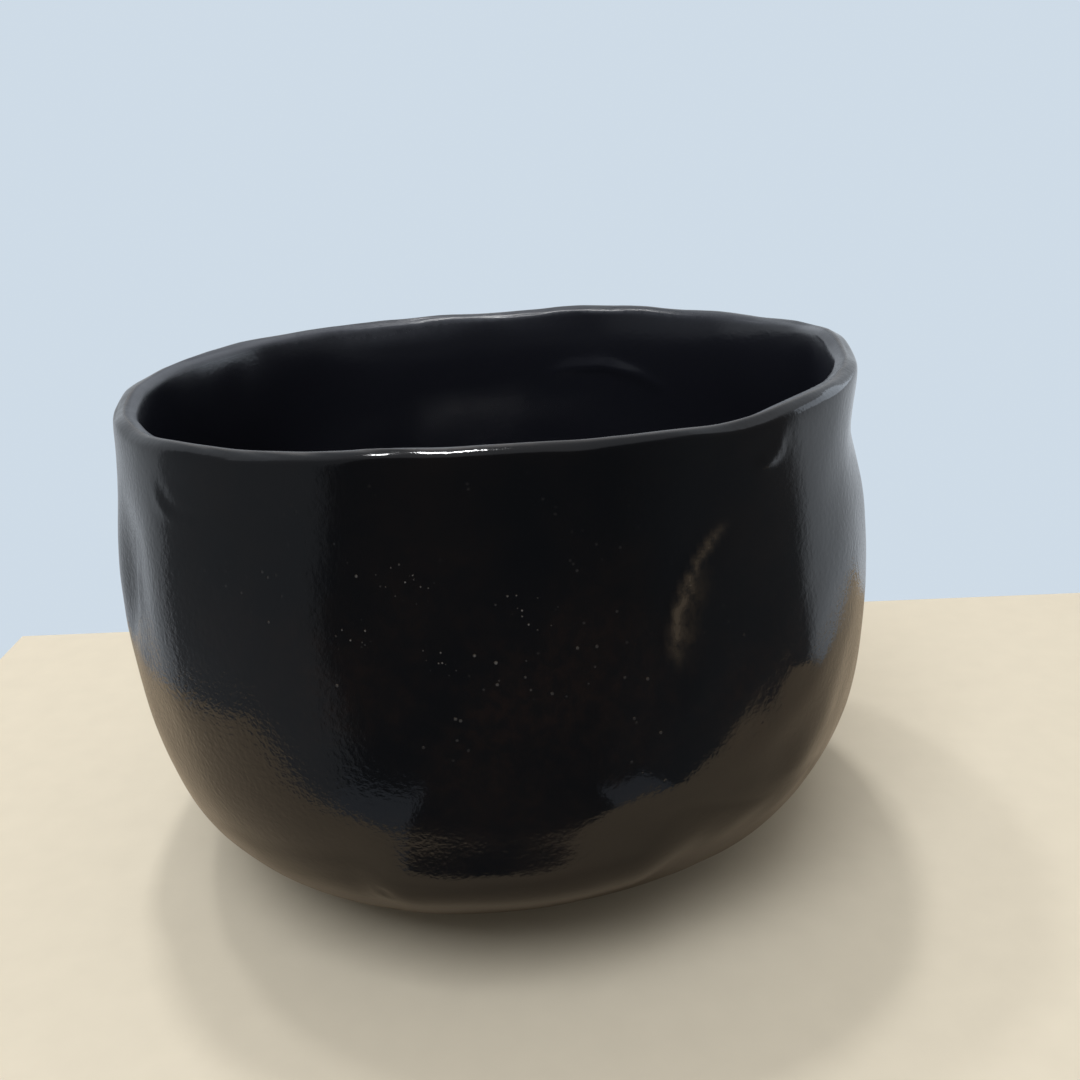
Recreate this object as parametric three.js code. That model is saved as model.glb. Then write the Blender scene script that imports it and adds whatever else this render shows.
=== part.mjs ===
// A hand-built tea bowl with a glossy black glaze: a clay body on a joined-on foot ring,
// with one coat of glaze outside that rolls over the lip and another inside.
//
// Millimetres, +Z up. The bowl stands on Z = 0 with the middle of its box on the Z axis.
// Azimuths are in degrees, anticlockwise from +X seen from above; the front is at -90.

import * as THREE from 'three';

// ---- Driving dimensions, outside sizes over the glaze ----
const LIP_HEIGHT = 83.5; // mean height of the lip's crown above the table
const MOUTH_WIDTH = 119; // across the lip
const BELLY_WIDTH = 124.6; // across the widest part
const BELLY_HEIGHT = 46; // height of the widest part
const FOOT_WIDTH = 54; // across the foot ring where it meets the base
const FOOT_HEIGHT = 6.4; // table to the underside of the base
const FOOT_WALL = 7; // thickness of the foot ring at its seat
const FOOT_TAPER = 1.2; // how much each side of the foot ring narrows towards the table
const FOOT_ROUNDING = 0.9; // bevel round the resting face

const WALL = 6.4; // whole wall at the belly, glaze included
const LIP_THICKNESS = 4; // whole lip, glaze included
const FLOOR_THICKNESS = 8.5; // whole floor at the middle, glaze included
const POOL_WIDTH = 38; // the shallow hollow in the floor where tea gathers
const POOL_DEPTH = 1.4;
const RECESS_DOME = 0.8; // how far the base bulges down inside the foot ring

const GLAZE = 0.9; // thickness of either coat
const SEAM = 0.3; // clearance between pieces that meet
const GLAZE_SEAM_DEPTH = 9; // where the outer coat ends inside the mouth, below the crown
const GLAZE_STOP = 1.6; // bare clay between the foot ring and the outer coat

// ---- Fullness of the outline ----
const BASE_REACH = 0.62; // how far the base runs out flat before it turns up
const HIP_DROP = 0.75; // how far the wall comes down straight before it turns under
const FLOOR_REACH = 0.66;
const INNER_DROP = 0.7;
const WALL_RISE = 0.4; // how long the wall stays upright above the belly
const MOUTH_LEAN = 0.6; // how far the wall stands out just under the lip
const MOUTH_EASE = 0.3; // over what share of the upper wall it comes in
const LIP_BEVEL = 2.1; // how far the inside of the lip slopes in towards the bowl

// ---- What the hands did to the round form ----
const SQUARENESS = 0.8; // how far the four soft corners stand out
const SQUARE_TURN = 3; // azimuth of the middle of the right-hand flat
const LIP_TILT = 1.6; // the lip is higher on one side by this much
const LIP_TILT_AT = -12; // azimuth of its high side
const LIP_WAVES = [
  { at: 92, spread: 11, rise: -0.8 },
  { at: 4, spread: 9, rise: 0.9 },
  { at: -60, spread: 10, rise: -0.8 },
  { at: -100, spread: 25, rise: 0.5 },
  { at: 42, spread: 18, rise: -0.8 },
  { at: 178, spread: 16, rise: 0.6 },
];
const LIP_WAVES_START = 35; // height above which the wall follows the lip up and down

// Broad dents: place, reach along and up the wall, and depth.
const PRESSES = [
  { at: -146, height: 60, along: 5.5, up: 9, depth: 1.5 }, // finger dent at the left
  { at: -18, height: 72.5, along: 13, up: 4.5, depth: 1.4 }, // pinch at the right, under the lip
  { at: -54, height: 17, along: 20, up: 8, depth: 1.9 }, // lower right flank, pared flat
  { at: -156, height: 24, along: 16, up: 9, depth: 0.7 }, // lower left hip, pared
  { at: 118, height: 52, along: 13, up: 15, depth: 1.1 }, // thumb hollow at the back
  { at: 52, height: 46, along: 20, up: 20, depth: 0.9 }, // palm flat at the back right
];

// ---- Mesh fineness ----
const COLUMNS = 48;
const BASE_STEPS = 8;
const WALL_STEPS = 9;
const LIP_STEPS = 4;
const INNER_WALL_STEPS = 8;
const FLOOR_STEPS = 6;
const HOLLOW_STEPS = 2; // the tea pool, and the dome inside the foot

const CROWN_RADIUS = LIP_THICKNESS / 2;
const SPRING_HEIGHT = LIP_HEIGHT - CROWN_RADIUS; // where the wall ends and the lip's round starts
const FLOOR_HEIGHT = FOOT_HEIGHT + FLOOR_THICKNESS;

const BLACK_GLAZE = { color: 0x0b0908, roughness: 0.16, metalness: 0 };
const INNER_BLACK_GLAZE = { color: 0x0a0909, roughness: 0.2, metalness: 0 };
const FIRED_CLAY = { color: 0x5d4a3d, roughness: 0.9, metalness: 0 };

function point(radius, height) {
  return new THREE.Vector2(radius, height);
}

function curvePoints(from, fromHandle, toHandle, to, steps) {
  return new THREE.CubicBezierCurve(from, fromHandle, toHandle, to).getPoints(steps);
}

// A gentle step from one height to another, level at both ends.
function easedStep(from, to, steps) {
  const halfway = (from.x + to.x) / 2;
  return curvePoints(from, point(halfway, from.y), point(halfway, to.y), to, steps);
}

// Points of the bowl's face in the (radius, height) plane: out along the base from the foot,
// up the wall, over the lip and down inside to the middle of the floor.
function bowlFace() {
  const seat = FOOT_WIDTH / 2 + GLAZE_STOP;
  const belly = BELLY_WIDTH / 2;
  const mouth = MOUTH_WIDTH / 2;
  const upper = SPRING_HEIGHT - BELLY_HEIGHT;
  const base = curvePoints(
    point(seat, FOOT_HEIGHT),
    point(seat + BASE_REACH * (belly - seat), FOOT_HEIGHT),
    point(belly, BELLY_HEIGHT - HIP_DROP * (BELLY_HEIGHT - FOOT_HEIGHT)),
    point(belly, BELLY_HEIGHT),
    BASE_STEPS,
  );
  const wall = curvePoints(
    point(belly, BELLY_HEIGHT),
    point(belly, BELLY_HEIGHT + WALL_RISE * upper),
    point(mouth + MOUTH_LEAN, SPRING_HEIGHT - MOUTH_EASE * upper),
    point(mouth, SPRING_HEIGHT),
    WALL_STEPS,
  );
  const lip = new THREE.EllipseCurve(
    mouth - CROWN_RADIUS, SPRING_HEIGHT, CROWN_RADIUS, CROWN_RADIUS, 0, Math.PI,
  ).getPoints(LIP_STEPS);
  const innerMouth = mouth - LIP_THICKNESS;
  const innerBelly = belly - WALL;
  const poolEdge = point(POOL_WIDTH / 2, FLOOR_HEIGHT + POOL_DEPTH);
  const innerWall = curvePoints(
    point(innerMouth, SPRING_HEIGHT),
    point(innerMouth - LIP_BEVEL, SPRING_HEIGHT - MOUTH_EASE * upper),
    point(innerBelly, BELLY_HEIGHT + WALL_RISE * upper),
    point(innerBelly, BELLY_HEIGHT),
    INNER_WALL_STEPS,
  );
  const innerBase = curvePoints(
    point(innerBelly, BELLY_HEIGHT),
    point(innerBelly, BELLY_HEIGHT - INNER_DROP * (BELLY_HEIGHT - poolEdge.y)),
    point(poolEdge.x + FLOOR_REACH * (innerBelly - poolEdge.x), poolEdge.y),
    poolEdge,
    FLOOR_STEPS,
  );
  const pool = easedStep(poolEdge, point(0, FLOOR_HEIGHT), HOLLOW_STEPS);
  return [base, wall, lip, innerWall, innerBase, pool].flatMap((part, i) => (i ? part.slice(1) : part));
}

// The same points moved under the face by a depth, square to the line through each neighbour pair.
function under(face, depth) {
  return face.map((here, i) => {
    const before = face[Math.max(i - 1, 0)];
    const after = face[Math.min(i + 1, face.length - 1)];
    const along = after.clone().sub(before).normalize();
    if (i === 0 || i === face.length - 1) {
      along.set(Math.sign(along.x), 0);
    }
    return point(here.x - along.y * depth, here.y + along.x * depth);
  });
}

// Index of the first point inside the mouth that lies below the outer coat's end.
function seamIndex(face) {
  const innerStart = BASE_STEPS + WALL_STEPS + LIP_STEPS;
  return face.findIndex((p, i) => i > innerStart && p.y < LIP_HEIGHT - GLAZE_SEAM_DEPTH);
}

function smoothStep(value, low, high) {
  return THREE.MathUtils.smoothstep(value, low, high);
}

// Shortest signed turn from one azimuth to another, in degrees.
function turnBetween(from, to) {
  return THREE.MathUtils.euclideanModulo(to - from + 180, 360) - 180;
}

function bell(distance, reach) {
  return Math.exp(-0.5 * (distance / reach) ** 2);
}

function lipRise(azimuth) {
  let rise = LIP_TILT * Math.cos(THREE.MathUtils.degToRad(azimuth - LIP_TILT_AT));
  for (const wave of LIP_WAVES) {
    rise += wave.rise * bell(turnBetween(wave.at, azimuth), wave.spread);
  }
  return rise;
}

function pressIn(azimuth, height) {
  const belly = BELLY_WIDTH / 2;
  let depth = 0;
  for (const press of PRESSES) {
    const along = THREE.MathUtils.degToRad(turnBetween(press.at, azimuth)) * belly;
    depth += press.depth * bell(along, press.along) * bell(height - press.height, press.up);
  }
  return depth;
}

// Turns the round form into the hand-shaped one. Every layer of the wall goes through the same
// change, so the layers stay the same distance apart; the foot and its seat stay round.
function shapeByHand(positions) {
  for (let i = 0; i < positions.count; i += 1) {
    const x = positions.getX(i);
    const y = positions.getY(i);
    const z = positions.getZ(i);
    const radius = Math.hypot(x, y);
    const azimuth = THREE.MathUtils.radToDeg(Math.atan2(y, x));
    const onWall = smoothStep(radius, FOOT_WIDTH / 2 + GLAZE_STOP, BELLY_WIDTH / 2 - WALL);
    const corner = -SQUARENESS * Math.cos(THREE.MathUtils.degToRad(4 * (azimuth - SQUARE_TURN)));
    const outwards = onWall * (corner - pressIn(azimuth, z));
    const stretch = radius > 0 ? (radius + outwards) / radius : 1;
    const lift = lipRise(azimuth) * smoothStep(z, LIP_WAVES_START, LIP_HEIGHT);
    positions.setXYZ(i, x * stretch, y * stretch, z + lift);
  }
}

// A piece turned about the Z axis from its closed section, then shaped by hand.
function handTurned(name, section, look) {
  const geometry = new THREE.LatheGeometry(section, COLUMNS);
  geometry.rotateX(Math.PI / 2);
  shapeByHand(geometry.attributes.position);
  geometry.computeVertexNormals();
  const mesh = new THREE.Mesh(geometry, new THREE.MeshStandardMaterial(look));
  mesh.name = name;
  return mesh;
}

// The shown side of a coat, and a glaze thickness under it the side that lies on the clay.
function coatSides(face, firstIndex, lastIndex) {
  const shown = face.slice(firstIndex, lastIndex + 1);
  const hidden = under(face, GLAZE).slice(firstIndex, lastIndex + 1).reverse();
  return { shown, hidden };
}

// From the foot up the outside, over the lip and a little way down inside the mouth.
function outerGlaze(face) {
  const { shown, hidden } = coatSides(face, 0, seamIndex(face));
  const section = [...shown, ...hidden, shown[0].clone()];
  return handTurned('outer_glaze', section, BLACK_GLAZE);
}

// Starts a seam's clearance below the outer coat and covers the wall and floor to the middle.
function innerGlaze(face) {
  const seam = seamIndex(face);
  const { shown, hidden } = coatSides(face, seam, face.length - 1);
  const clearance = face[seam + 1].clone().sub(face[seam]).setLength(SEAM);
  shown[0] = shown[0].clone().add(clearance);
  hidden[hidden.length - 1].add(clearance);
  return handTurned('inner_glaze', [...hidden, ...shown], INNER_BLACK_GLAZE);
}

// The clay under both coats, closed by the flat seat for the foot and the domed base inside it.
function clayBody(face) {
  const skin = under(face, GLAZE + SEAM);
  const seatInner = FOOT_WIDTH / 2 - FOOT_WALL;
  const seatOuter = FOOT_WIDTH / 2;
  const dome = easedStep(
    point(0, FOOT_HEIGHT - RECESS_DOME), point(seatInner - SEAM, FOOT_HEIGHT), HOLLOW_STEPS,
  );
  const seatEdge = point(seatOuter + SEAM, FOOT_HEIGHT);
  return handTurned('clay_body', [...dome, seatEdge, ...skin], FIRED_CLAY);
}

// The ring the bowl stands on, joined to the base along its flat top.
function footRing() {
  const outer = FOOT_WIDTH / 2;
  const inner = outer - FOOT_WALL;
  const seat = FOOT_HEIGHT - SEAM;
  const section = [
    point(inner + FOOT_TAPER + FOOT_ROUNDING, 0),
    point(outer - FOOT_TAPER - FOOT_ROUNDING, 0),
    point(outer - FOOT_TAPER, FOOT_ROUNDING),
    point(outer, seat),
    point(inner, seat),
    point(inner + FOOT_TAPER, FOOT_ROUNDING),
    point(inner + FOOT_TAPER + FOOT_ROUNDING, 0),
  ];
  return handTurned('foot_ring', section, FIRED_CLAY);
}

const face = bowlFace();
const bowl = new THREE.Group();
bowl.name = 'tea_bowl';
bowl.add(clayBody(face), footRing(), outerGlaze(face), innerGlaze(face));

// The hand shaping moves the outline a little to one side, so the bowl is centred again.
const middle = new THREE.Box3().setFromObject(bowl).getCenter(new THREE.Vector3());
bowl.position.set(-middle.x, -middle.y, 0);

export default bowl;
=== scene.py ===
"""Looks of a hand-built tea bowl with a glossy black glaze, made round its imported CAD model.

Metres, in the frame's own axes: +Z up, front at -Y. Places on the bowl's wall are given as
(azimuth, height): azimuth in degrees anticlockwise from +X seen from above, so that the front
is at -90, and height in millimetres above the table.
"""

import math

import bmesh
import bpy
import numpy as np
from mathutils import Matrix, Vector
from mathutils.bvhtree import BVHTree
from mathutils.kdtree import KDTree


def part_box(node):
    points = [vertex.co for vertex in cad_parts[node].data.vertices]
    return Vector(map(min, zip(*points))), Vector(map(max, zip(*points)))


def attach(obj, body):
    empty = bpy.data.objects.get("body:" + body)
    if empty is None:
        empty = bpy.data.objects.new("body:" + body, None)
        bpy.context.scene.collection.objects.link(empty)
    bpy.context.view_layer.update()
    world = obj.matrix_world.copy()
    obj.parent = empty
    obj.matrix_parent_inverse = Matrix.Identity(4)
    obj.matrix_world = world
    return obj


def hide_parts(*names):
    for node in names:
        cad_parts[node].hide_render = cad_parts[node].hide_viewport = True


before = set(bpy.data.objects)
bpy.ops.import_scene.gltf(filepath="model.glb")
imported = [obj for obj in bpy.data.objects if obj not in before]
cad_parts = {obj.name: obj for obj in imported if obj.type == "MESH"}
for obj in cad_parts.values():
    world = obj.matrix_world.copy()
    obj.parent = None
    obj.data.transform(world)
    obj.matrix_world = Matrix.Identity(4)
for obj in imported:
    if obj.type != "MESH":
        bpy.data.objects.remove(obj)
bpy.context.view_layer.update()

MM = 0.001

# ---- The CAD model's own sizes that the looks need ----
WALL_RADIUS = (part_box("outer_glaze")[1].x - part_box("outer_glaze")[0].x) / 2
LIP_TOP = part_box("outer_glaze")[1].z
FOOT_OUTER = (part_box("foot_ring")[1].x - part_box("foot_ring")[0].x) / 2
AXIS_X = (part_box("foot_ring")[1].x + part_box("foot_ring")[0].x) / 2
AXIS_Y = (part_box("foot_ring")[1].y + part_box("foot_ring")[0].y) / 2
GLAZE_THICKNESS = 0.9 * MM
COAT_CLEARANCE = 0.3 * MM
SEAM_REACH = 1.4 * COAT_CLEARANCE
SAME_POINT = 0.01 * MM
POLE_EDGES = 12  # a point with more edges than this is on the bowl's axis


# ---------------------------------------------------------------------------------------------
# Meshes: the CAD node's own shape, made smooth
# ---------------------------------------------------------------------------------------------


def coordinates(mesh):
    """A mesh's points as an array of rows."""
    flat = np.empty(len(mesh.vertices) * 3)
    mesh.vertices.foreach_get("co", flat)
    return flat.reshape(-1, 3)


def normals(mesh):
    flat = np.empty(len(mesh.vertices) * 3)
    mesh.vertices.foreach_get("normal", flat)
    return flat.reshape(-1, 3)


def set_coordinates(mesh, points):
    mesh.vertices.foreach_set("co", points.ravel())
    mesh.update()


def tree_of(points):
    tree = KDTree(len(points))
    for index, point in enumerate(points):
        tree.insert(point, index)
    tree.balance()
    return tree


def is_diagonal(edge):
    """True if the edge only splits one of the lathe's four-sided faces in two."""
    if len(edge.link_faces) != 2:
        return False
    if any(len(vert.link_edges) > POLE_EDGES for vert in edge.verts):
        return False
    length = edge.calc_length()
    for face in edge.link_faces:
        if len(face.verts) != 3 or any(e.calc_length() > length for e in face.edges):
            return False
    return True


def control_cage(*nodes):
    """The CAD nodes' shape in four-sided faces. Each face's material index is its node's place."""
    cage = bmesh.new()
    for place, node in enumerate(nodes):
        before = len(cage.faces)
        cage.from_mesh(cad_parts[node].data)
        cage.faces.ensure_lookup_table()
        for face in cage.faces[before:]:
            face.material_index = place
    bmesh.ops.remove_doubles(cage, verts=cage.verts, dist=SAME_POINT)
    diagonals = [edge for edge in cage.edges if is_diagonal(edge)]
    bmesh.ops.dissolve_edges(cage, edges=diagonals, use_verts=False)
    return cage


def close_seam(cage):
    """Welds the two coats' facing rings, so that the glaze is one continuous skin."""
    cage.verts.ensure_lookup_table()
    tree = tree_of([vert.co for vert in cage.verts])
    merged = {}
    for vert in cage.verts:
        for _, index, _ in tree.find_range(vert.co, SEAM_REACH):
            other = cage.verts[index]
            if index > vert.index and vert not in merged and other not in merged:
                vert.co = (vert.co + other.co) / 2
                merged[other] = vert
    bmesh.ops.weld_verts(cage, targetmap=merged)
    crossing = {edge for edge in cage.edges if len(edge.link_faces) > 2}
    caps = [face for face in cage.faces if sum(edge in crossing for edge in face.edges) > 1]
    bmesh.ops.delete(cage, geom=caps, context="FACES")


def subdivided(mesh, levels):
    """A new mesh: the limit surface of a control mesh."""
    holder = bpy.data.objects.new("holder", mesh)
    bpy.context.scene.collection.objects.link(holder)
    smooth = holder.modifiers.new("smooth", "SUBSURF")
    smooth.levels = levels
    smooth.render_levels = levels
    graph = bpy.context.evaluated_depsgraph_get()
    fine = bpy.data.meshes.new_from_object(holder.evaluated_get(graph), depsgraph=graph)
    bpy.data.objects.remove(holder)
    return fine


def fitted_control(cage, rounds=4):
    """A control mesh whose smooth surface passes through the cage's own points."""
    mesh = bpy.data.meshes.new("control")
    cage.to_mesh(mesh)
    cage.free()
    wanted = coordinates(mesh)
    points = wanted.copy()
    for _ in range(rounds):
        fine = subdivided(mesh, 1)
        points += wanted - coordinates(fine)[: len(wanted)]
        set_coordinates(mesh, points)
        bpy.data.meshes.remove(fine)
    return mesh


def refine_where(mesh, finer, chosen):
    """Splits the chosen faces once more and lays the new points on the finer mesh."""
    cage = bmesh.new()
    cage.from_mesh(mesh)
    cage.faces.ensure_lookup_table()
    edges = {edge for face in cage.faces if chosen[face.index] for edge in face.edges}
    old = set(cage.verts)
    bmesh.ops.subdivide_edges(cage, edges=list(edges), cuts=1, use_grid_fill=True)
    tree = tree_of(coordinates(finer))
    for vert in cage.verts:
        if vert not in old:
            vert.co = tree.find(vert.co)[0]
    cage.to_mesh(mesh)
    cage.free()


def depth_over_clay(points):
    """How far each point is from the clay's surface."""
    clay = bmesh.new()
    clay.from_mesh(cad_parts["clay_body"].data)
    surface = BVHTree.FromBMesh(clay)
    depths = np.array([surface.find_nearest(point)[3] for point in points])
    clay.free()
    return depths


def face_centres(mesh):
    flat = np.empty(len(mesh.polygons) * 3)
    mesh.polygons.foreach_get("center", flat)
    return flat.reshape(-1, 3)


# ---------------------------------------------------------------------------------------------
# Marks of the making, as fields over the wall
# ---------------------------------------------------------------------------------------------


def smooth_step(value, low, high):
    """0 up to low and 1 from high on, with a smooth change between."""
    share = np.clip((value - low) / (high - low), 0, 1)
    return share * share * (3 - 2 * share)


def bell(distance, reach):
    """1 at no distance, fading over about two reaches."""
    return np.exp(-0.5 * (distance / reach) ** 2)


def fade_out(share):
    """1 along a line, falling to 0 over its last three tenths."""
    return smooth_step(-share, -1, -0.7)


def ripples(points, wavelength, seed, waves=32):
    """A smooth random field of unit spread, with bumps about half a wavelength across."""
    rng = np.random.default_rng(seed)
    directions = rng.normal(size=(waves, 3))
    directions /= np.linalg.norm(directions, axis=1)[:, None]
    turns = rng.uniform(0.7, 1.4, waves) * 2 * math.pi / wavelength
    phases = rng.uniform(0, 2 * math.pi, waves)
    steps = directions * turns[:, None]
    return np.sin(points @ steps.T + phases).sum(axis=1) * math.sqrt(2 / waves)


class Wall:
    """Points given by their place on the wall, in millimetres along it and up it."""

    def __init__(self, points):
        x = points[:, 0] - AXIS_X
        y = points[:, 1] - AXIS_Y
        self.azimuth = np.degrees(np.arctan2(y, x))
        self.height = points[:, 2] / MM
        self.radius = np.hypot(x, y) / MM

    def along(self, azimuth):
        """Distance along the wall from an azimuth."""
        turn = (self.azimuth - azimuth + 180) % 360 - 180
        return np.radians(turn) * WALL_RADIUS / MM

    def blob(self, place, across, up, lean=0):
        """1 at a place, fading over two reaches; lean turns it, in degrees."""
        u = self.along(place[0])
        v = self.height - place[1]
        turn = math.radians(lean)
        a = u * math.cos(turn) + v * math.sin(turn)
        b = v * math.cos(turn) - u * math.sin(turn)
        return np.exp(-0.5 * ((a / across) ** 2 + (b / up) ** 2))

    def path(self, places):
        """Signed distance to a line through places, positive on its right, and the share of the
        way along it."""
        best = np.full(len(self.height), 1e9)
        side = np.zeros_like(best)
        share = np.zeros_like(best)
        count = len(places) - 1
        for step in range(count):
            start, end = places[step], places[step + 1]
            u = self.along(start[0])
            v = self.height - start[1]
            run = math.radians(end[0] - start[0]) * WALL_RADIUS / MM
            rise = end[1] - start[1]
            length = math.hypot(run, rise)
            t = np.clip((u * run + v * rise) / length**2, 0, 1)
            off_u = u - t * run
            off_v = v - t * rise
            distance = np.hypot(off_u, off_v)
            nearer = distance < best
            best = np.where(nearer, distance, best)
            side = np.where(nearer, np.sign(u * rise - v * run), side)
            share = np.where(nearer, (step + t) / count, share)
        return best * side, share


# Lines and spots on the wall, as (azimuth, height).
SCAR = [(-58.5, 72.3), (-61, 70.5), (-63.2, 68), (-64.8, 65.2), (-66.4, 61.5), (-67, 57), (-66.3, 52.5)]
DRIP = [(-49.5, 85), (-50, 81.5), (-51.2, 79), (-53, 78.4)]
CREASE = [(-134.5, 77.5), (-133, 75.2), (-130.5, 74), (-128, 74.2)]
HOLLOW_RIDGE = [(-143, 68), (-145.5, 62), (-146, 57), (-149, 51)]
PIT_CLUSTERS = [(-99.5, 69), (-105, 62), (-95, 58.5), (-97, 67), (-86, 65), (-83, 63.5)]
INNER_ARC = [(50, 67), (58, 70), (66, 71.5), (73, 71), (80, 69)]


def scar_marks(wall):
    """The tongs' mark: a shallow groove with a raised edge on its right."""
    off, share = wall.path(SCAR)
    along = smooth_step(share, 0, 0.12) * fade_out(share)
    groove = -0.16 * bell(off + 0.9, 1.0)
    edge = 0.2 * bell(off - 0.4, 0.5)
    return along * (groove + edge)


def drip_marks(wall):
    """A run of glaze under the lip, ending in a drop."""
    off, share = wall.path(DRIP)
    bead = 0.22 * bell(off, 0.6) * smooth_step(share, 0.1, 0.6)
    return bead + 0.18 * wall.blob(DRIP[-1], 0.9, 0.6)


def left_marks(wall):
    """The finger hollow at the left, the ridge beside it and the crease above."""
    ridge, share = wall.path(HOLLOW_RIDGE)
    lift = 0.5 * bell(ridge - 0.8, 1.6) * np.sin(np.clip(share, 0.02, 0.98) * math.pi)
    hollow = -1.4 * wall.blob((-152, 57), 3.8, 7, -20)
    crease, _ = wall.path(CREASE)
    fold = 0.2 * bell(crease - 0.7, 0.7) - 0.18 * bell(crease + 0.6, 0.7)
    near = wall.blob((-132, 75), 3, 2)
    return lift + hollow + fold * near


def front_marks(wall):
    """A round dent, a rimmed crater, the swelling above the foot and the full and pared flanks."""
    dent = -0.5 * wall.blob((-97, 67), 2.0, 1.6) + 0.12 * wall.blob((-94, 65), 2.4, 2)
    crater_off = np.hypot(wall.along(-105.5), wall.height - 22)
    crater = -0.4 * bell(crater_off, 0.6) + 0.12 * bell(crater_off - 1.1, 0.4)
    across = smooth_step(wall.along(-110), 0, 9) * smooth_step(-wall.along(-60), 0, 12)
    hip = 1.45 * bell(wall.height - 22, 4) * across + 0.4 * wall.blob((-82, 22), 14, 4)
    corner = 1.3 * wall.blob((-47, 45), 8, 15) + 0.5 * wall.blob((-134, 62), 7, 16)
    flank = 1.1 * wall.blob((-52, 28), 8, 5) - 1.3 * wall.blob((-141, 38), 11, 8)
    return dent + crater + hip + corner + flank


def tool_marks(wall, points):
    """Slanting flats left by paring the lower right of the wall."""
    slanted = ripples(points, 9 * MM, 21)
    along = wall.along(-60)
    across_streaks = (along - wall.height) * 0.7
    down_streaks = (along + wall.height) * 0.18
    flat = np.stack([across_streaks, down_streaks, np.zeros(len(points))], axis=1)
    streaks = ripples(flat, 5.5, 22)
    place = wall.blob((-50, 36), 14, 12)
    return place * (0.05 * slanted + 0.06 * streaks)


def wall_relief(wall, points):
    """How far the outside stands out, in millimetres."""
    broad = 0.16 * ripples(points, 36 * MM, 11) + 0.035 * ripples(points, 15 * MM, 12)
    small = 0.006 * ripples(points, 6 * MM, 13)
    return (
        broad
        + small
        + scar_marks(wall)
        + drip_marks(wall)
        + left_marks(wall)
        + front_marks(wall)
        + tool_marks(wall, points)
    )


def inner_relief(wall, points):
    """How far the inside stands out from the clay, in millimetres."""
    broad = 0.16 * ripples(points, 32 * MM, 31) + 0.03 * ripples(points, 14 * MM, 32)
    arc, share = wall.path(INNER_ARC)
    ridge = 0.4 * bell(arc, 0.9) * np.sin(share * math.pi)
    return broad + ridge


def lip_relief(points):
    """Unevenness of the lip's crown, in millimetres."""
    return 0.10 * ripples(points, 18 * MM, 41) + 0.012 * ripples(points, 6 * MM, 42)


# ---------------------------------------------------------------------------------------------
# Pieces
# ---------------------------------------------------------------------------------------------


def new_piece(name, mesh, nodes, material):
    mesh.name = name
    mesh.materials.clear()
    mesh.materials.append(material)
    for polygon in mesh.polygons:
        polygon.material_index = 0
    mesh.shade_smooth()
    piece = bpy.data.objects.new(name, mesh)
    bpy.context.scene.collection.objects.link(piece)
    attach(piece, "root")
    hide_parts(*nodes)
    return piece


def shown_mask(depths):
    """True for the glaze's shown side, false for the side against the clay."""
    return depths > COAT_CLEARANCE + GLAZE_THICKNESS / 2


def glaze_skin():
    """Both coats as one fine closed mesh, before it takes its marks."""
    cage = control_cage("outer_glaze", "inner_glaze")
    close_seam(cage)
    control = fitted_control(cage)
    skin = subdivided(control, 2)
    finer = subdivided(control, 3)
    shown = shown_mask(depth_over_clay(face_centres(skin)))
    refine_where(skin, finer, shown)
    return skin


def glaze_moves(skin):
    """How the marks move every point of the glaze. Hidden points follow the shown ones over them."""
    points = coordinates(skin)
    facing = normals(skin)
    shown = np.nonzero(shown_mask(depth_over_clay(points)))[0]
    face = points[shown]
    out = facing[shown]
    wall = Wall(face)
    radial = np.stack([face[:, 0] - AXIS_X, face[:, 1] - AXIS_Y], axis=1)
    radial /= np.maximum(np.linalg.norm(radial, axis=1), SAME_POINT)[:, None]
    turned = (out[:, :2] * radial).sum(axis=1)
    high = smooth_step(wall.height, 70, 80)
    crown = high * smooth_step(out[:, 2], 0.2, 0.8)
    outside = smooth_step(turned + np.maximum(-out[:, 2], 0), -0.1, 0.4)
    inside = 1 - smooth_step(turned - np.maximum(out[:, 2], 0) * (1 - high), -0.4, 0.1)
    near_foot = smooth_step(wall.radius, FOOT_OUTER / MM + 2, FOOT_OUTER / MM + 10)
    amount = outside * near_foot * wall_relief(wall, face)
    amount += inside * inner_relief(wall, face)
    amount += crown * lip_relief(face)
    moves = out * amount[:, None] * MM
    tree = tree_of(face)
    nearest = np.array([tree.find(point)[1] for point in points])
    return moves[nearest]


def split_coats(skin):
    """Two closed meshes from the one skin: the outer coat's faces and the inner coat's."""
    coats = []
    for place in range(2):
        cage = bmesh.new()
        cage.from_mesh(skin)
        others = [face for face in cage.faces if face.material_index != place]
        bmesh.ops.delete(cage, geom=others, context="FACES")
        open_edges = [edge for edge in cage.edges if len(edge.link_faces) == 1]
        for edge in open_edges:
            edge.smooth = False
        bmesh.ops.bridge_loops(cage, edges=open_edges)
        coat = bpy.data.meshes.new("coat")
        cage.to_mesh(coat)
        cage.free()
        coats.append(coat)
    return coats


def store(mesh, name, values):
    layer = mesh.attributes.new(name, "FLOAT", "POINT")
    layer.data.foreach_set("value", values.astype(np.float32))


def paint_masks(mesh):
    """Where the glaze changes colour or texture, and where a reflection, a sheen and glints are painted,
    stored on the points for the material.
    """
    points = coordinates(mesh)
    facing = normals(mesh)
    wall = Wall(points)
    paint_lip_and_inside(mesh, points, facing, wall)
    paint_scar_and_warmth(mesh, facing, wall)
    paint_pits_and_peel(mesh, wall)


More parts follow.
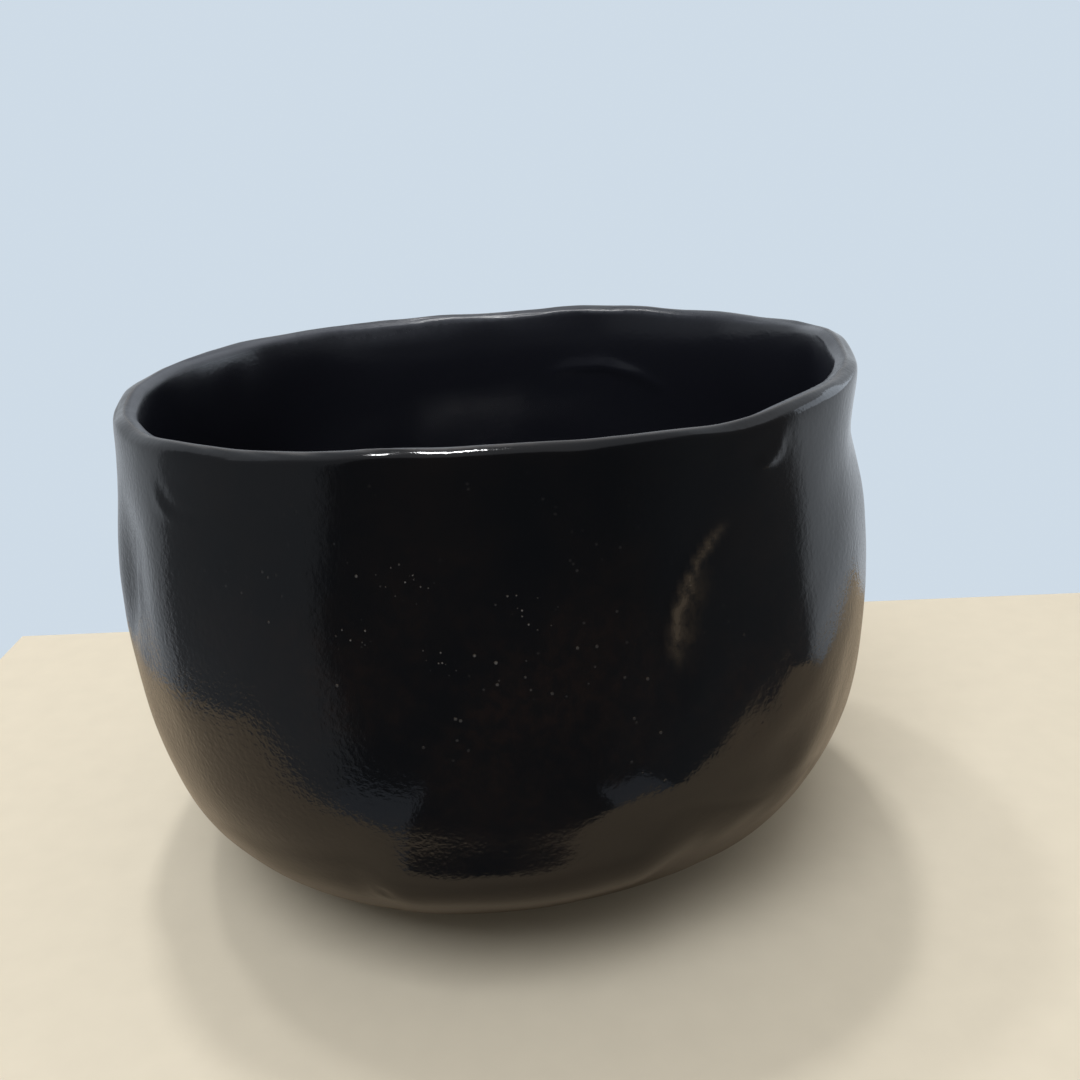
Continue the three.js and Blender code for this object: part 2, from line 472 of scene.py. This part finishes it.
def paint_lip_and_inside(mesh, points, facing, wall):
    """Masks for the crown of the lip, the slope inside it and the inside wall and floor. The slope takes
    a painted reflection, strongest at the back left, and the inside a painted lighter sheen.
    """
    high = smooth_step(wall.height, 76, 80)
    store(mesh, "lip", smooth_step(facing[:, 2], 0.9, 1.0) * high)
    inwards = -(facing[:, 0] * (points[:, 0] - AXIS_X) + facing[:, 1] * (points[:, 1] - AXIS_Y))
    inwards /= wall.radius * MM
    slope = smooth_step(inwards, 0.1, 0.4) * smooth_step(facing[:, 2], 0.12, 0.35) * high
    # Painted reflection: the slope's mask grows towards the back left, where the lip mirrors the bright
    # wall.
    store(mesh, "bevel", slope * (0.25 + wall.blob((150, LIP_TOP / MM), 55, 30)))
    # The inside wall and floor take a painted sheen, a lighter bluish black.
    inside = smooth_step(inwards, -0.1, 0.3)
    floor = smooth_step(facing[:, 2], 0.5, 0.8) * (1 - high)
    store(mesh, "inside", np.clip(inside + floor, 0, 1))


def paint_scar_and_warmth(mesh, facing, wall):
    """Masks for the rust in the tongs' mark and the brownish patches in front."""
    front = smooth_step(facing[:, 1] * -1, 0.1, 0.5)
    scar, share = wall.path(SCAR)
    core = bell(scar, 0.4) * smooth_step(share, 0.0, 0.25)
    lower = 0.45 * bell(scar + 1.2, 1.1) * smooth_step(share, 0.3, 0.6)
    store(mesh, "rust", np.clip((core + lower) * fade_out(share), 0, 1))
    warm = wall.blob((-88, 50), 20, 14) + 0.7 * wall.blob((-52, 45), 9, 8)
    store(mesh, "warm", np.clip(warm, 0, 1) * front)


def paint_pits_and_peel(mesh, wall):
    """Masks for scattered pits, bunches of pits and the orange peel at the sides. The pits are dented and
    painted pale as glints.
    """
    pits = wall.blob((-97, 62), 13, 8) + 0.7 * wall.blob((-62, 47), 8, 6)
    store(mesh, "pits", np.clip(pits, 0, 1))
    clusters = sum(wall.blob(place, 1.7, 1.3) for place in PIT_CLUSTERS)
    store(mesh, "clusters", smooth_step(clusters, 0.3, 0.6))
    peel = 0.25 + wall.blob((-140, 52), 14, 12) + 0.5 * wall.blob((-118, 40), 14, 10)
    peel += 1.2 * wall.blob((-22, 48), 12, 24) + 1.0 * wall.blob((-152, 50), 10, 22)
    store(mesh, "peel", np.clip(peel, 0, 1.8))


def glaze_pieces(material):
    skin = glaze_skin()
    points = coordinates(skin)
    moves = glaze_moves(skin)
    set_coordinates(skin, points + moves)
    names = (("glaze_outside", "outer_glaze"), ("glaze_inside", "inner_glaze"))
    for coat, (name, node) in zip(split_coats(skin), names):
        paint_masks(coat)
        new_piece(name, coat, [node], material)
    return points, moves


def clay_piece(material, skin_points, skin_moves):
    """The clay under the glaze moves with it, so that the coats stay clear of it."""
    mesh = subdivided(fitted_control(control_cage("clay_body")), 2)
    points = coordinates(mesh)
    tree = tree_of(skin_points)
    found = [tree.find(point)[1:] for point in points]
    moves = skin_moves[[index for index, _ in found]]
    distance = np.array([distance for _, distance in found])
    moves *= smooth_step(-distance, -4 * MM, -2 * MM)[:, None]
    set_coordinates(mesh, points + moves)
    return new_piece("clay_vessel", mesh, ["clay_body"], material)


def foot_piece(material):
    """The foot ring, kept flat underneath where smoothing would dip it below the table."""
    mesh = subdivided(fitted_control(control_cage("foot_ring")), 3)
    points = coordinates(mesh)
    points[:, 2] = np.maximum(points[:, 2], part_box("foot_ring")[0].z)
    set_coordinates(mesh, points)
    return new_piece("foot", mesh, ["foot_ring"], material)


# ---------------------------------------------------------------------------------------------
# Materials
# ---------------------------------------------------------------------------------------------


# The Mix node's sockets when it mixes colours. They share their names with its other modes.
MIX_SHARE = 0
MIX_FIRST = 6
MIX_SECOND = 7
MIX_RESULT = 2


class Shade:
    """One material's node tree, built node by node."""

    def __init__(self, owner):
        owner.use_nodes = True
        self.tree = owner.node_tree
        self.tree.nodes.clear()

    def node(self, kind, inputs=None, **settings):
        """A new node. An input is either another node's output or a constant."""
        made = self.tree.nodes.new(kind)
        for name, value in settings.items():
            setattr(made, name, value)
        for name, value in (inputs or {}).items():
            socket = made.inputs[name]
            if isinstance(value, bpy.types.NodeSocket):
                self.tree.links.new(value, socket)
            else:
                socket.default_value = value
        return made

    def place(self):
        return self.node("ShaderNodeTexCoord").outputs["Object"]

    def mask(self, name):
        return self.node("ShaderNodeAttribute", attribute_name=name).outputs["Fac"]

    def math(self, operation, first, second=0.0):
        return self.node("ShaderNodeMath", {0: first, 1: second}, operation=operation).outputs[0]

    def noise(self, size, detail=3.0, roughness=0.5):
        """Noise with lumps about size metres across, from 0 to 1."""
        inputs = {"Scale": 0.5 / size, "Detail": detail, "Roughness": roughness}
        inputs["Vector"] = self.place()
        return self.node("ShaderNodeTexNoise", inputs).outputs["Fac"]

    def cells(self, size):
        """Distance to the nearest of scattered points about size metres apart."""
        inputs = {"Vector": self.place(), "Scale": 1 / size}
        return self.node("ShaderNodeTexVoronoi", inputs, feature="F1").outputs["Distance"]

    def ramp(self, value, low, high, start=0.0, end=1.0):
        """A smooth change from start to end while the value goes from low to high."""
        made = self.node(
            "ShaderNodeMapRange",
            {"Value": value, "From Min": low, "From Max": high, "To Min": start, "To Max": end},
            interpolation_type="SMOOTHSTEP",
        )
        return made.outputs["Result"]

    def mix(self, share, first, second):
        """A colour between two: the first where share is 0, the second where it is 1."""
        inputs = {MIX_SHARE: share, MIX_FIRST: first, MIX_SECOND: second}
        return self.node("ShaderNodeMix", inputs, data_type="RGBA").outputs[MIX_RESULT]

    def bump(self, height, distance, strength=1.0, under=None):
        inputs = {"Height": height, "Distance": distance, "Strength": strength}
        if under is not None:
            inputs["Normal"] = under
        return self.node("ShaderNodeBump", inputs).outputs["Normal"]

    def surface(self, inputs):
        shader = self.node("ShaderNodeBsdfPrincipled", inputs)
        self.node("ShaderNodeOutputMaterial", {"Surface": shader.outputs[0]})


GLAZE_BLACK = (0.0024, 0.0025, 0.0031, 1)
GLAZE_BROWN = (0.0046, 0.0036, 0.0035, 1)
GLAZE_WARM = (0.0085, 0.0050, 0.0040, 1)
RUST = (0.062, 0.043, 0.025, 1)
# A paler brownish grey on the lip's upward-facing crown.
PALE_LIP_CROWN = (0.045, 0.038, 0.034, 1)
# Painted sheen: a lighter bluish black for the inside wall and floor.
INSIDE_PAINTED_SHEEN = (0.0095, 0.0102, 0.0145, 1)
# Painted reflection: a lighter bluish grey on the lip's inner slope.
BEVEL_PAINTED_REFLECTION = (0.060, 0.065, 0.078, 1)
# Painted glints: the pale colour of the pits.
PIT_PAINTED_GLINT = (0.22, 0.2, 0.18, 1)
GLAZE_IOR = 1.52

CLAY_LIGHT = (0.12, 0.085, 0.06, 1)
CLAY_DARK = (0.065, 0.047, 0.036, 1)
CLAY_GRIT = (0.22, 0.17, 0.13, 1)
CLAY_SPECK = (0.03, 0.024, 0.02, 1)


def black_glaze_material():
    """Black glaze, faintly brown in front, with rust in the scar, pits and fine orange peel. The pits are
    painted pale as glints, the lip's inner slope takes a painted reflection and the inside a painted
    lighter sheen.
    """
    material = bpy.data.materials.new("black_glaze")
    shade = Shade(material)
    cloud = shade.noise(9 * MM, 4, 0.6)
    fleck = shade.noise(0.9 * MM, 4, 0.65)
    warm = shade.math("MULTIPLY", shade.mask("warm"), shade.ramp(cloud, 0.42, 0.62))
    warm = shade.math("MULTIPLY", warm, shade.ramp(fleck, 0.35, 0.7))
    colour = shade.mix(shade.ramp(cloud, 0.3, 0.75), GLAZE_BLACK, GLAZE_BROWN)
    colour = shade.mix(warm, colour, GLAZE_WARM)
    rust = shade.math("MULTIPLY", shade.mask("rust"), shade.ramp(fleck, 0.2, 0.66))
    colour = shade.mix(rust, colour, RUST)
    # The lip's upward-facing crown is painted a paler brownish grey.
    lip = shade.math("MULTIPLY", shade.mask("lip"), shade.ramp(fleck, 0.25, 0.65, 0.45, 1.0))
    colour = shade.mix(lip, colour, PALE_LIP_CROWN)
    # Painted sheen inside the bowl.
    colour = shade.mix(shade.mask("inside"), colour, INSIDE_PAINTED_SHEEN)
    # Painted reflection on the lip's inner slope.
    bevel = shade.math("MULTIPLY", shade.mask("bevel"), shade.ramp(fleck, 0.2, 0.7, 0.6, 1.0))
    colour = shade.mix(bevel, colour, BEVEL_PAINTED_REFLECTION)
    pit = shade.ramp(shade.cells(1.7 * MM), 0.16, 0.07)
    sparse = shade.ramp(shade.noise(4 * MM, 2), 0.5, 0.6)
    pit = shade.math("MULTIPLY", shade.math("MULTIPLY", pit, sparse), shade.mask("pits"))
    close = shade.ramp(shade.cells(0.8 * MM), 0.2, 0.1)
    close = shade.math("MULTIPLY", close, shade.mask("clusters"))
    pit = shade.math("MAXIMUM", pit, close)
    # The pits are painted pale as glints.
    colour = shade.mix(shade.math("MULTIPLY", pit, 0.5), colour, PIT_PAINTED_GLINT)
    peel = shade.noise(0.42 * MM, 2.5, 0.55)
    normal = shade.bump(shade.math("MULTIPLY", peel, shade.mask("peel")), 0.08 * MM, 1.0)
    normal = shade.bump(shade.noise(2.2 * MM, 3, 0.5), 0.03 * MM, 0.3, normal)
    normal = shade.bump(shade.math("MULTIPLY", pit, -1), 0.25 * MM, 0.8, normal)
    rough = shade.ramp(cloud, 0.3, 0.7, 0.05, 0.11)
    duller = [(shade.mask("peel"), 0.05), (rust, 0.3), (lip, 0.22), (bevel, 0.25)]
    duller.append((shade.mask("inside"), 0.08))
    for where, amount in duller:
        rough = shade.math("ADD", rough, shade.math("MULTIPLY", where, amount))
    shade.surface({"Base Color": colour, "Roughness": rough, "IOR": GLAZE_IOR, "Normal": normal})
    return material


def fired_clay_material():
    """Bare brown clay with pale grit and dark specks."""
    material = bpy.data.materials.new("fired_clay")
    shade = Shade(material)
    cloud = shade.noise(8 * MM, 4, 0.6)
    grit = shade.noise(0.5 * MM, 3, 0.7)
    colour = shade.mix(shade.ramp(cloud, 0.3, 0.7), CLAY_LIGHT, CLAY_DARK)
    colour = shade.mix(shade.ramp(grit, 0.6, 0.72), colour, CLAY_GRIT)
    colour = shade.mix(shade.ramp(grit, 0.36, 0.28), colour, CLAY_SPECK)
    normal = shade.bump(grit, 0.25 * MM, 0.8)
    normal = shade.bump(shade.noise(2.5 * MM, 3), 0.5 * MM, 0.5, normal)
    rough = shade.ramp(cloud, 0.3, 0.7, 0.78, 0.95)
    shade.surface({"Base Color": colour, "Roughness": rough, "Normal": normal})
    return material


# ---------------------------------------------------------------------------------------------
# Stage, lights and camera
# ---------------------------------------------------------------------------------------------

BOARD_FRONT = -0.083
BOARD_BACK = 0.085
BOARD_LEFT = -0.127
BOARD_RIGHT = 0.175
BOARD_THICKNESS = 0.0015
SWEEP_REACH = 3.0
BACKDROP_SIDES = 64
PALE_SWEEP = (0.62, 0.71, 0.80, 1)
PALE_BOARD = (0.68, 0.62, 0.50, 1)
SHADED_BOARD_COPY = (0.45, 0.36, 0.25, 1)  # darker and warmer than the board: painted shade, the board as it lies in warm shadow near the bowl
CARD_STEP = 0.00005
WINDOW_FROM = 6  # azimuths of a bright window; in the photo's view the inside of the lip mirrors it
WINDOW_TO = 48
WINDOW_HEIGHTS = (0.12, 0.50)
WINDOW_GLOW = (0.9, 1, 1.12, 1)
WINDOW_STRENGTH = 1.5
COOL_CARDS = (("cool_left", -0.057, -0.024, 0.020), ("cool_right", 0.036, 0.055, 0.016))
COOL_GAP = 0.001
COOL_GLOW = (0.85, 0.95, 1.1, 1)
COOL_STRENGTH = 0.26


def flat_card(name, corners, material):
    mesh = bpy.data.meshes.new(name)
    mesh.from_pydata(corners, [], [tuple(range(len(corners)))])
    card = bpy.data.objects.new(name, mesh)
    card.data.materials.append(material)
    bpy.context.scene.collection.objects.link(card)
    return card


def level_card(name, left, right, front, back, height, material):
    corners = [(left, front, height), (right, front, height), (right, back, height), (left, back, height)]
    return flat_card(name, corners, material)


def matt_material(name, colour):
    """A dull surface with a faint grain."""
    material = bpy.data.materials.new(name)
    shade = Shade(material)
    grain = shade.noise(3 * MM, 3)
    darker = tuple(0.93 * part for part in colour[:3]) + (1,)
    shade.surface({"Base Color": shade.mix(grain, colour, darker), "Roughness": 0.85})
    return material


def only_in_reflections(card):
    """Hides a card from everything but mirrored rays."""
    card.visible_camera = False
    card.visible_diffuse = False
    card.visible_shadow = False
    card.visible_transmission = False
    card.visible_volume_scatter = False


def glow_material(name, colour, strength):
    """An even glow that takes no shadows."""
    material = bpy.data.materials.new(name)
    shade = Shade(material)
    glow = shade.node("ShaderNodeEmission", {"Color": colour, "Strength": strength})
    shade.node("ShaderNodeOutputMaterial", {"Surface": glow.outputs[0]})
    return material


def backdrop(material):
    """A wide round wall that closes the view. Only the camera sees it."""
    mesh = bpy.data.meshes.new("backdrop")
    around = []
    for step in range(BACKDROP_SIDES):
        turn = 2 * math.pi * step / BACKDROP_SIDES
        around.append((SWEEP_REACH * math.cos(turn), SWEEP_REACH * math.sin(turn)))
    low = [(x, y, -BOARD_THICKNESS) for x, y in around]
    high = [(x, y, SWEEP_REACH) for x, y in around]
    sides = []
    for step in range(BACKDROP_SIDES):
        after = (step + 1) % BACKDROP_SIDES
        sides.append((step, after, BACKDROP_SIDES + after, BACKDROP_SIDES + step))
    mesh.from_pydata(low + high, [], sides)
    wall = bpy.data.objects.new("backdrop", mesh)
    wall.data.materials.append(material)
    bpy.context.scene.collection.objects.link(wall)
    wall.visible_glossy = False
    wall.visible_diffuse = False
    wall.visible_shadow = False


def floor_card(material):
    """The floor beyond the board, not seen in reflections."""
    reach = SWEEP_REACH
    floor = level_card("floor", -reach, reach, -reach, reach, -BOARD_THICKNESS, material)
    floor.visible_glossy = False


def board_card(name, height, colour):
    material = matt_material(name, colour)
    return level_card(name, BOARD_LEFT, BOARD_RIGHT, BOARD_FRONT, BOARD_BACK, height, material)


def board_cards():
    """The board as it is seen, and a darker, warmer copy with painted shade that only reflections see."""
    board = board_card("board", 0, PALE_BOARD)
    board.visible_glossy = False
    thick = board.modifiers.new("thick", "SOLIDIFY")
    thick.thickness = BOARD_THICKNESS * 0.9
    # The copy's darker, warmer colour is painted shade.
    only_in_reflections(board_card("board_shaded_copy", CARD_STEP, SHADED_BOARD_COPY))


def window_card():
    """A bright upright window one metre away."""
    around = [math.radians(WINDOW_FROM), math.radians(WINDOW_TO)]
    low, high = WINDOW_HEIGHTS
    corners = []
    for turn, height in zip(around + around[::-1], (low, low, high, high)):
        corners.append((math.cos(turn), math.sin(turn), height))
    glow = glow_material("window", WINDOW_GLOW, WINDOW_STRENGTH)
    only_in_reflections(flat_card("window", corners, glow))


def cool_cards():
    """Two bluish cards in front of the board."""
    cool = glow_material("cool_cards", COOL_GLOW, COOL_STRENGTH)
    back = BOARD_FRONT - COOL_GAP
    height = -BOARD_THICKNESS / 2
    for name, left, right, deep in COOL_CARDS:
        card = level_card(name, left, right, BOARD_FRONT - deep, back, height, cool)
        only_in_reflections(card)


def stage():
    pale = glow_material("sweep", PALE_SWEEP, 1.0)
    backdrop(pale)
    floor_card(pale)
    board_cards()
    window_card()
    cool_cards()


# How bright the room is at each azimuth, as the bowl mirrors it.
ROOM = [(-180, 0.22), (-134, 0.22), (-129, 0.05), (-60, 0.05), (-40, 0.10), (2, 0.13), (12, 0.72),
        (90, 0.70), (125, 0.55), (165, 0.50), (172, 0.22), (180, 0.22)]
FILL_LOW = (0.18, 0.16, 0.13, 1)
FILL_HIGH = (0.58, 0.55, 0.51, 1)
OVERHEAD = (0.38, 0.40, 0.43, 1)
ROOM_TINT = (0.9, 0.97, 1.05)


def room_light():
    """The world: the room that the glaze mirrors, and a softer fill that lights matt surfaces."""
    world = bpy.data.worlds.new("room")
    bpy.context.scene.world = world
    shade = Shade(world)
    direction = shade.node("ShaderNodeTexCoord").outputs["Generated"]
    parts = shade.node("ShaderNodeSeparateXYZ", {0: direction}).outputs
    turn = shade.math("ARCTAN2", parts["Y"], parts["X"])
    share = shade.math("ADD", shade.math("DIVIDE", turn, 2 * math.pi), 0.5)
    ramp = shade.node("ShaderNodeValToRGB", {"Fac": share})
    stops = ramp.color_ramp.elements
    while len(stops) < len(ROOM):
        stops.new(0.5)
    for stop, (azimuth, level) in zip(stops, ROOM):
        stop.position = azimuth / 360 + 0.5
        stop.color = tuple(level * tint for tint in ROOM_TINT) + (1,)
    overhead = shade.ramp(parts["Z"], 0.72, 0.92)
    light = shade.mix(overhead, ramp.outputs["Color"], OVERHEAD)
    path = shade.node("ShaderNodeLightPath").outputs
    fill = shade.mix(shade.ramp(parts["Z"], 0.0, 0.9), FILL_LOW, FILL_HIGH)
    light = shade.mix(path["Is Diffuse Ray"], light, fill)
    back = shade.node("ShaderNodeBackground", {"Color": light, "Strength": 1.0})
    shade.node("ShaderNodeOutputWorld", {"Surface": back.outputs[0]})


KEY_PLACE = (-0.45, -1.40, 2.30)
KEY_WHITE = (0.97, 1, 1.04)
LAMP_PLACE = (-0.05, 0.14, 0.90)
LAMP_LEFT_PLACE = (-0.24, 0.14, 0.86)
LAMP_SIZE = 0.06
LAMP_WHITE = (1, 1, 1)


def soft_light(name, place, size, power, colour, mirrored):
    """A square light that faces the middle of the bowl."""
    data = bpy.data.lights.new(name, "AREA")
    data.shape = "RECTANGLE"
    data.size = size
    data.size_y = size
    data.energy = power
    data.color = colour
    light = bpy.data.objects.new(name, data)
    bpy.context.scene.collection.objects.link(light)
    light.location = place
    towards = Vector((0, 0, LIP_TOP / 2)) - Vector(place)
    light.rotation_euler = towards.to_track_quat("-Z", "Y").to_euler()
    light.visible_glossy = mirrored
    return light


# Fitted to the outlines of the lip and the wall in the photo. The lens is an assumption.
CAMERA_PLACE = (0.0076, -0.1895, 0.1205)
CAMERA_TILT = 70.0
CAMERA_ROLL = -2.35
CAMERA_LENS = 38.6
CAMERA_SENSOR = 36
CAMERA_NEAR = 0.005


def camera():
    data = bpy.data.cameras.new("camera")
    data.lens = CAMERA_LENS
    data.sensor_width = CAMERA_SENSOR
    data.clip_start = CAMERA_NEAR
    made = bpy.data.objects.new("camera", data)
    bpy.context.scene.collection.objects.link(made)
    tilt = Matrix.Rotation(math.radians(CAMERA_TILT), 4, "X")
    roll = Matrix.Rotation(math.radians(CAMERA_ROLL), 4, "Z")
    made.matrix_world = Matrix.Translation(CAMERA_PLACE) @ tilt @ roll
    bpy.context.scene.camera = made


# ---------------------------------------------------------------------------------------------
# The scene
# ---------------------------------------------------------------------------------------------

glaze = black_glaze_material()
clay = fired_clay_material()
skin_points, skin_moves = glaze_pieces(glaze)
clay_piece(clay, skin_points, skin_moves)
foot_piece(clay)
stage()
room_light()
soft_light("key", KEY_PLACE, size=1.5, power=44.0, colour=KEY_WHITE, mirrored=False)
soft_light("lamp", LAMP_PLACE, size=LAMP_SIZE, power=2.0, colour=LAMP_WHITE, mirrored=True)
soft_light("lamp_left", LAMP_LEFT_PLACE, size=LAMP_SIZE, power=1.0, colour=LAMP_WHITE, mirrored=True)
camera()
bpy.context.scene.view_settings.view_transform = "Standard"
